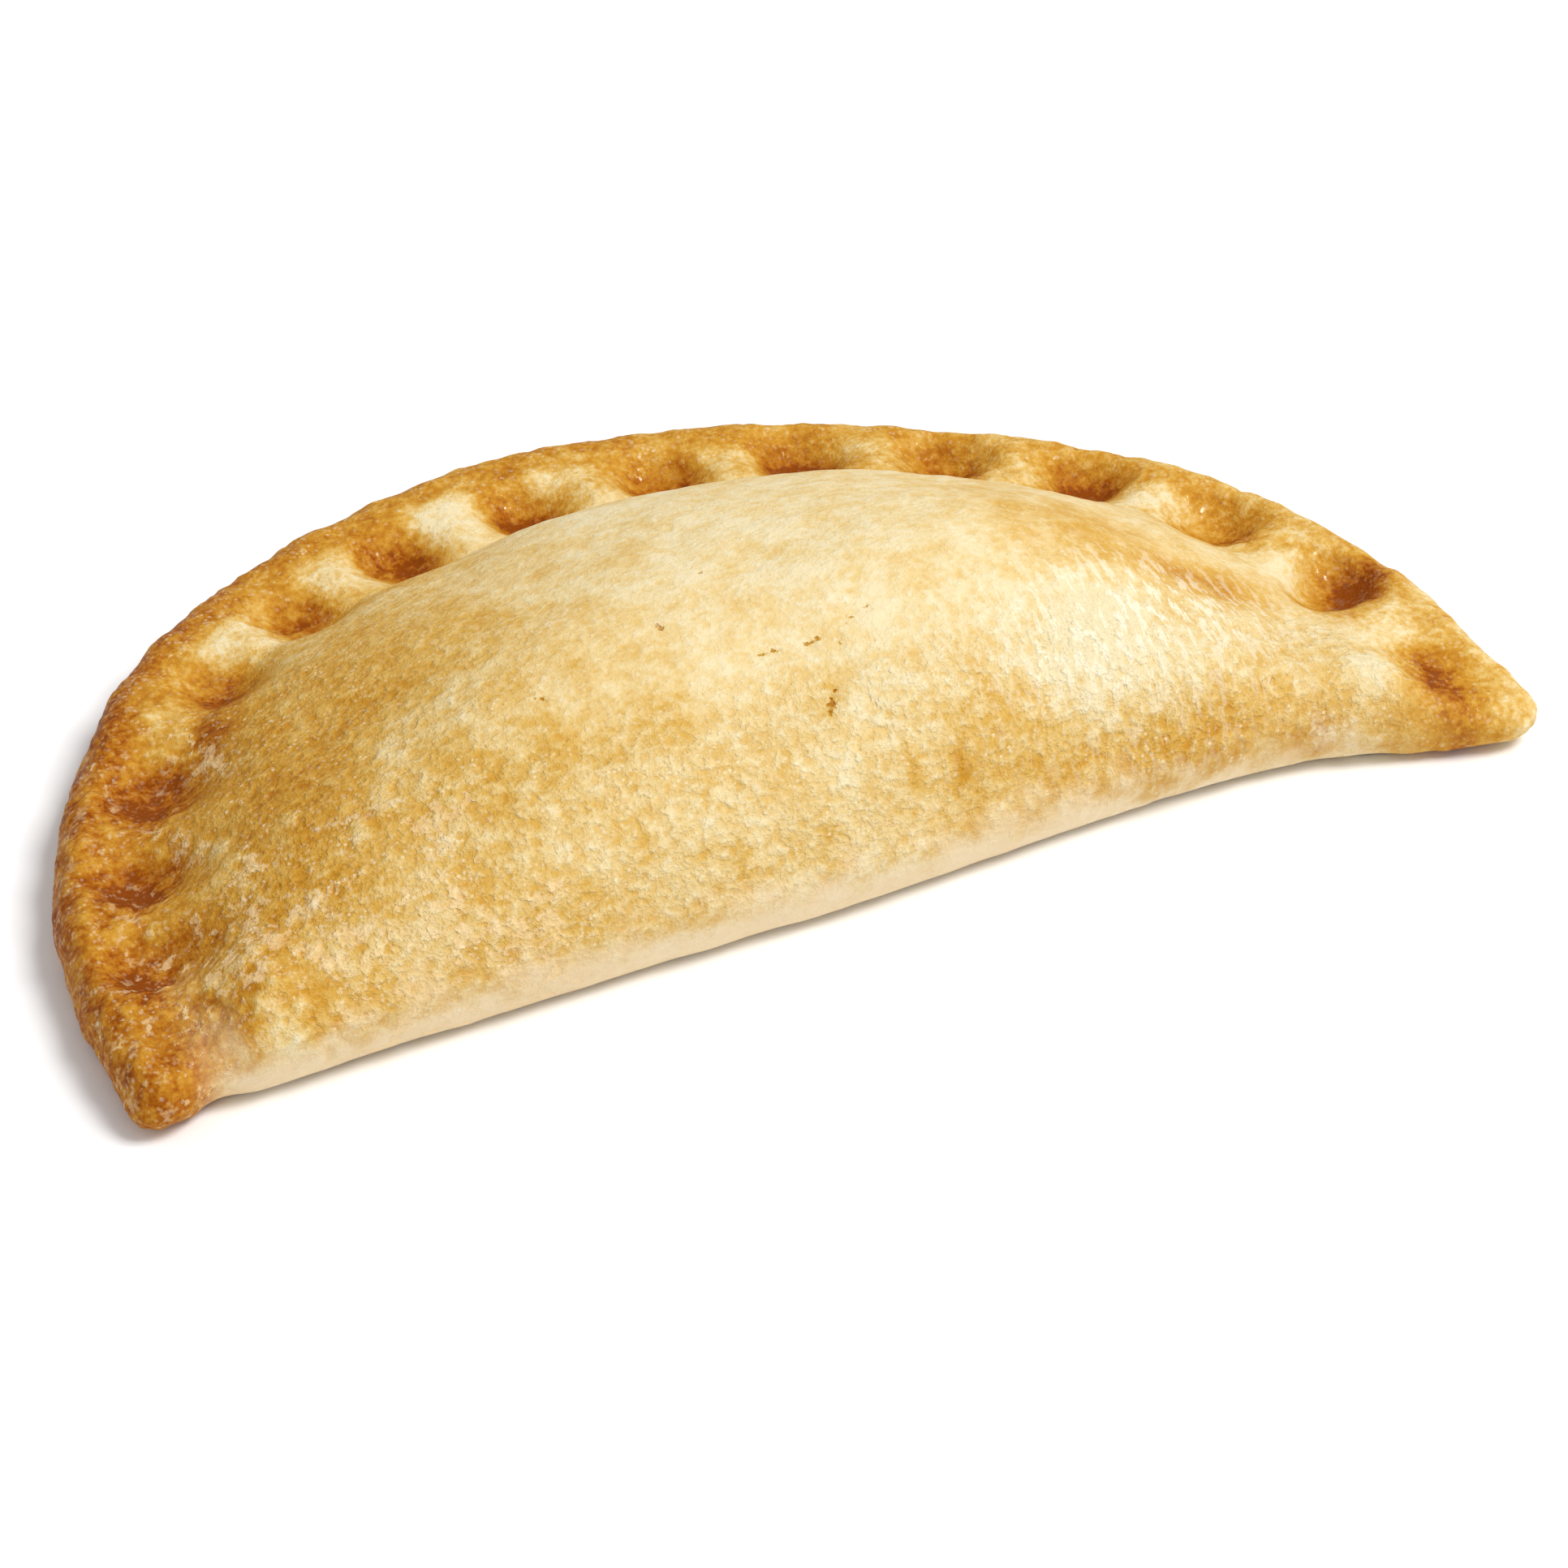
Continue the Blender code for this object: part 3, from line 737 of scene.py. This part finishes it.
# Dark spots in the prints: browning, with painted shade where a print's wall turns away from the
# light.
spots = np.zeros_like(x)
for degrees, inset, strength in BURNT_AND_SHADED_SPOTS:
    turn = (bearing - math.radians(degrees)) * PRINT_ARM / SPOT_LENGTH
    spots += strength * np.exp(-(turn**2) - ((from_rim - inset) / SPOT_WIDTH) ** 2)
# A hollow and its spots, painted shade included, darken pale skin more than skin that is brown
# already.
toast = toast + (HOLLOW_TOAST * hollow + spots) * (1.15 - 0.5 * toast)
toast = toast + (LIP_TOAST * left_part - LIP_PALE) * lip + FLAP_TOAST * flap
# The paler corner bulges and the paler print walls are painted highlight.
toast = toast + ovals(x, y, CORNER_PATCHES) + ovals(x, y, PAINTED_WALL_HIGHLIGHTS)
toast = toast - BLISTER_PALE * blisters - SMALL_BLISTER_PALE * small_blisters
toast = toast + UNEVEN_TOAST * bumps(9.0, 11, 2)
toast = toast * (1.0 - front_band) + (BAND_TOAST + LEFT_BAND_TOAST * left_part) * front_band
toast = toast * (1.0 - tray_side) + TRAY_TOAST * tray_side
print("browning from", round(toast.min(), 2), "to", round(toast.max(), 2))

# %% [markdown]
# The browning and the masks are numbers per point, so they are stored on the mesh, where
# the material can read each by its name. The marks of the upper side are kept off the
# underside.

# %% Store it on the mesh
# Where pale blisters crowd together: x, y, half length, half width, turn in degrees.
CLUSTERS = [(-67.5, 13.0, 5.0, 3.4, 60.0), (-58.0, 8.0, 6.0, 3.4, -20.0),
            (-46.5, 8.0, 4.0, 3.0, 0.0), (-64.0, 22.0, 4.0, 1.4, 70.0),
            (-58.0, 48.0, 7.0, 1.6, 100.0), (-44.0, 16.5, 3.6, 3.0, 0.0),
            (-38.0, 5.0, 6.0, 1.4, 0.0), (-66.0, 36.0, 5.0, 1.0, 100.0)]
# Ovals of the same kind: the low right front, a little raw, and the glossy right shoulder.
RAW_FRONT = (58.0, 4.0, 12.0, 3.5, -8.0)
GLOSSY_SHOULDER = (54.0, 24.0, 8.0, 3.4, -6.0)


def store(name, values):
    """Keeps one number per vertex on the mesh, for the material to read."""
    layer = crust_mesh.attributes.new(name, "FLOAT", "POINT")
    layer.data.foreach_set("value", np.asarray(values, dtype=np.float32))


def store_mark(name, values):
    """Keeps a mark of the upper side, which the underside has nothing of."""
    store(name, np.clip(values, 0.0, 1.0) * (1.0 - tray_side))


clusters = sum(oval(x, y, *cluster) for cluster in CLUSTERS)
grainy = np.clip(ease(24.0, 12.0, y) + left_part, 0.0, 1.0)
glossy = hollow + 0.3 * rim_part + 0.7 * right_part + oval(x, y, *GLOSSY_SHOULDER)
store("toast", toast)
store("to_crack", to_crack)
store("to_flake", to_flake)
store_mark("raw", front_band + 0.1 * oval(x, y, *RAW_FRONT))
store_mark("blotch", clusters + 0.30 * low_left + 0.18 * rim_part * left_part)
store_mark("wrinkle", right_part)
store_mark("hollow", hollow)
store_mark("rim", rim_part)
store_mark("granular", grainy * (1.0 - 0.8 * front_band) * (1.0 - rim_part))
store_mark("gloss", glossy)
print("stored:", [layer.name for layer in crust_mesh.attributes if layer.data_type == "FLOAT"])

# %% [markdown]
# ## The crust's finish
# A material is a sum of noises, so the lesson writes it as sums. A small class wraps a
# node's socket, so that plus, minus and times add Math nodes. Every other node comes
# from one method, which takes the kind of node, its settings and its inputs.

# %% A number on the surface
class Value:
    """A number that changes over the surface: one output socket of a node."""

    def __init__(self, finish, socket):
        self.finish = finish
        self.socket = socket

    def math(self, operation, first, second):
        return self.finish.node("ShaderNodeMath", {"operation": operation}, {0: first, 1: second})

    def __add__(self, other):
        return self.math("ADD", self, other)

    def __sub__(self, other):
        return self.math("SUBTRACT", self, other)

    def __rsub__(self, other):
        return self.math("SUBTRACT", other, self)

    def __mul__(self, other):
        return self.math("MULTIPLY", self, other)

    __radd__ = __add__
    __rmul__ = __mul__


print("a value knows", [name for name in vars(Value) if name.endswith(("add__", "sub__", "mul__"))])

# %% A finish and its nodes
class Finish:
    """A material with its shader and a short way to add nodes."""

    def __init__(self, name):
        self.material = bpy.data.materials.new(name)
        self.material.use_nodes = True
        self.tree = self.material.node_tree
        self.shader = self.tree.nodes["Principled BSDF"]

    def plug(self, value, socket):
        """Links a wrapped value to a socket, or sets the socket to a constant."""
        if isinstance(value, Value):
            self.tree.links.new(value.socket, socket)
        else:
            socket.default_value = value

    def node(self, kind, settings=None, inputs=None, output=0):
        """Adds a node, with its settings first, then the values or links of its sockets."""
        node = self.tree.nodes.new(kind)
        for name, setting in (settings or {}).items():
            if name == "stops":
                ramp = node.color_ramp
                while len(ramp.elements) < len(setting):
                    ramp.elements.new(0.5)
                for element, (position, colour) in zip(ramp.elements, setting):
                    element.position = position
                    element.color = (*colour, 1.0)
            else:
                setattr(node, name, setting)
        for name, value in (inputs or {}).items():
            self.plug(value, node.inputs[name])
        return Value(self, node.outputs[output])

    def step(self, value, low, high):
        """0 below low, 1 above high, and a soft step between them."""
        settings = {"interpolation_type": "SMOOTHSTEP"}
        inputs = {"Value": value, "From Min": low, "From Max": high}
        return self.node("ShaderNodeMapRange", settings, inputs)


crust_finish = Finish("baked_crust")
print("material:", crust_finish.material.name)

# %% Where a point lies, its grain and its stored numbers
where = crust_finish.node("ShaderNodeTexCoord", output="Object")


def grain(size_mm, detail=2.0, roughness=0.5, at=where):
    """Noise with spots of a size in millimetres, about 0.5 on average."""
    inputs = {"Vector": at, "Scale": 1.0 / (size_mm * MM), "Detail": detail, "Roughness": roughness}
    return crust_finish.node("ShaderNodeTexNoise", None, inputs)


def stored(name):
    """One of the numbers that were stored on the mesh."""
    return crust_finish.node("ShaderNodeAttribute", {"attribute_name": name}, output="Fac")


print("nodes so far:", len(crust_finish.tree.nodes))

# %% [markdown]
# The colour follows the browning through a ramp of dough colours. Baked dough is uneven at
# every size, so noises push the browning up and down before the ramp: clouds of six
# millimetres, mottling of two, pebbles and speckles of one. That way a darker place is
# also a redder one. Inside a crack, the browning is deeper.

# %% Noises of the crust
clouds = grain(6.0, 3.0, 0.6)
mottle = crust_finish.step(grain(2.4, 6.0, 0.70), 0.34, 0.66)
fine_grain = grain(0.8, 3.0, 0.6)
speckles = crust_finish.step(fine_grain, 0.34, 0.66)
pebbles = crust_finish.step(grain(1.3, 4.0, 0.62), 0.30, 0.70)
# How far, in mm, the edges of cracks and flakes wander.
WOBBLE_MM = 1.6
wobble = (grain(0.9, 3.0, 0.6) - 0.5) * WOBBLE_MM
print("nodes so far:", len(crust_finish.tree.nodes))

# %% The browned colour
CRUST_COLOURS = [(0.00, (0.83, 0.70, 0.43)),
                 (0.15, (0.79, 0.59, 0.27)),
                 (0.35, (0.69, 0.42, 0.100)),
                 (0.55, (0.59, 0.285, 0.030)),
                 (0.75, (0.47, 0.18, 0.014)),
                 (0.90, (0.36, 0.100, 0.005)),
                 (1.00, (0.25, 0.055, 0.003))]
CLOUD_CONTRAST = 0.42
CRACK_TOAST = 0.55

granular = stored("granular")
rim = stored("rim")
cracks = crust_finish.step(stored("to_crack") + wobble, 0.10, -0.20)
baked = stored("toast") + (clouds - 0.5) * CLOUD_CONTRAST + (mottle - 0.5) * (0.15 + rim * 0.08)
baked = baked - (speckles - 0.5) * (0.07 + rim * 0.12) - (pebbles - 0.5) * (0.06 + granular * 0.12)
baked = baked + cracks * CRACK_TOAST
colour = crust_finish.node("ShaderNodeValToRGB", {"stops": CRUST_COLOURS}, {"Fac": baked})
print("colour stops:", len(CRUST_COLOURS))

# %% [markdown]
# Pale things lie on the browned skin. The band along the fold is nearly raw dough. Bits of
# fat and flour show as light granules and ragged islands, and dried dough crowds into scabs
# near the left tip. The flakes are whitish, and white is also painted on as glints, on the
# ridges of the fine folds and on some granules. The floors of the prints were pressed smooth and
# have few of them.

# %% Granules, islands, scabs, folds and flakes
# Squeezing Y and Z makes a fold three times as long as wide.
FOLD_STRETCH = (1.0, 0.32, 0.32)


def dots(size_mm, share, radius):
    """Small round dots in a share of the cells of an uneven net."""
    inputs = {"Vector": where, "Scale": 1.0 / (size_mm * MM)}
    reach = crust_finish.node("ShaderNodeTexVoronoi", None, inputs)
    draw = crust_finish.node("ShaderNodeTexVoronoi", None, inputs, 1)
    draw = crust_finish.node("ShaderNodeSeparateXYZ", None, {"Vector": draw})
    chosen = draw.math("LESS_THAN", draw, share)
    return crust_finish.step(reach, radius, 0.5 * radius) * chosen


fine_granules = dots(0.58, 0.40, 0.46)
granules = dots(0.75, 0.36, 0.44)
big_granules = dots(1.0, 0.24, 0.34)
blotch = stored("blotch")
islands = crust_finish.step(grain(1.8, 5.0, 0.68) + blotch * 0.12, 0.64, 0.70)
scabs = crust_finish.step(grain(1.9, 4.0, 0.60) + blotch * 0.15, 0.61, 0.68)
scabs = scabs * crust_finish.step(blotch, 0.05, 0.35)
flakes = crust_finish.step(stored("to_flake") + wobble * 1.8, 0.40, -0.50) * (0.20 + pebbles * 0.80)
flat_skin = 1.0 - stored("hollow")
gathered = crust_finish.step(grain(3.4, 3.0), 0.42, 0.66) * flat_skin
wrinkle = stored("wrinkle")
stretched = {0: where, 1: FOLD_STRETCH}
stretched = crust_finish.node("ShaderNodeVectorMath", {"operation": "MULTIPLY"}, stretched)
folds = grain(0.9, 3.0, 0.60, stretched)
# Painted highlight: the ridges of the fine folds are tinted white, as glints.
crest_glints = crust_finish.step(folds, 0.52, 0.58) * wrinkle
print("nodes so far:", len(crust_finish.tree.nodes))

# %% The pale tints and painted glints
RAW_DOUGH = (0.86, 0.70, 0.49, 1.0)
PALE_SKIN = (0.88, 0.66, 0.36, 1.0)
SCAB = (0.90, 0.66, 0.36, 1.0)
CREAM = (0.95, 0.82, 0.56, 1.0)
GLINT_AND_FLAKE_WHITE = (0.95, 0.88, 0.70, 1.0)


def tint(colour, amount, new_colour):
    """Mixes a colour towards a new one by an amount that varies over the surface."""
    inputs = {0: amount, 6: colour, 7: new_colour}
    return crust_finish.node("ShaderNodeMix", {"data_type": "RGBA"}, inputs, 2)


colour = tint(colour, stored("raw") * 0.75, RAW_DOUGH)
colour = tint(colour, (islands * (0.28 + speckles * 0.30) + granules * 0.20) * flat_skin, PALE_SKIN)
colour = tint(colour, scabs * (0.34 + pebbles * 0.34), SCAB)
# Pale granules of flour and fat, whitened further as painted glints.
colour = tint(colour, fine_granules * gathered * (0.12 + granular * 0.40 + rim * 0.18), CREAM)
# White of the flakes, and painted glints on the fold ridges and big granules.
whitish = crest_glints * 0.72 + big_granules * flat_skin * 0.20 + flakes * 0.45
colour = tint(colour, whitish, GLINT_AND_FLAKE_WHITE)
crust_finish.plug(colour, crust_finish.shader.inputs["Base Color"])
print("nodes so far:", len(crust_finish.tree.nodes))

# %% [markdown]
# Butter in the dough makes it shine a little, most in the prints and on the browned rim.
# The finest crags, under half a millimetre, are bump, and make the shine sparkle.

# %% Shine
SKIN_ROUGHNESS = 0.60
SHINE_SMOOTHS = 0.18
COAT_ROUGHNESS = 0.16
SPECULAR_LEVEL = 0.06
SPECULAR_TINT = (1.0, 0.80, 0.50, 1.0)

shine = stored("gloss")
surface = crust_finish.shader.inputs
crust_finish.plug(SKIN_ROUGHNESS - shine * SHINE_SMOOTHS, surface["Roughness"])
crust_finish.plug(shine * crust_finish.step(fine_grain, 0.60, 0.66), surface["Coat Weight"])
surface["Coat Roughness"].default_value = COAT_ROUGHNESS
surface["Specular IOR Level"].default_value = SPECULAR_LEVEL
surface["Specular Tint"].default_value = SPECULAR_TINT
print("coat roughness:", COAT_ROUGHNESS)

# %% The finest crags
# The height of a crag where the sum is 1, in mm.
CRAG_MM = 0.18

crag_height = speckles * (0.28 + granular * 0.16) + pebbles * (0.30 + granular * 1.05)
crag_height = crag_height - mottle * 0.30 + fine_granules * gathered * 0.10
crag_height = crag_height + granules * 0.16 + big_granules * 0.20 + islands * 0.15 + scabs * 0.40
crag_height = crag_height + flakes * 0.2 - cracks * 0.8 + grain(0.45, 1.0) * 0.15
crag_height = crag_height + folds * wrinkle * 2.2
bump_inputs = {"Strength": 1.0, "Distance": CRAG_MM * MM, "Height": crag_height}
crust_finish.plug(crust_finish.node("ShaderNodeBump", None, bump_inputs), surface["Normal"])
crust_mesh.materials.append(crust_finish.material)
print("the finish has", len(crust_finish.tree.nodes), "nodes")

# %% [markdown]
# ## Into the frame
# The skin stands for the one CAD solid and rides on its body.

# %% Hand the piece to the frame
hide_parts("empanada")
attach(crust, "root")
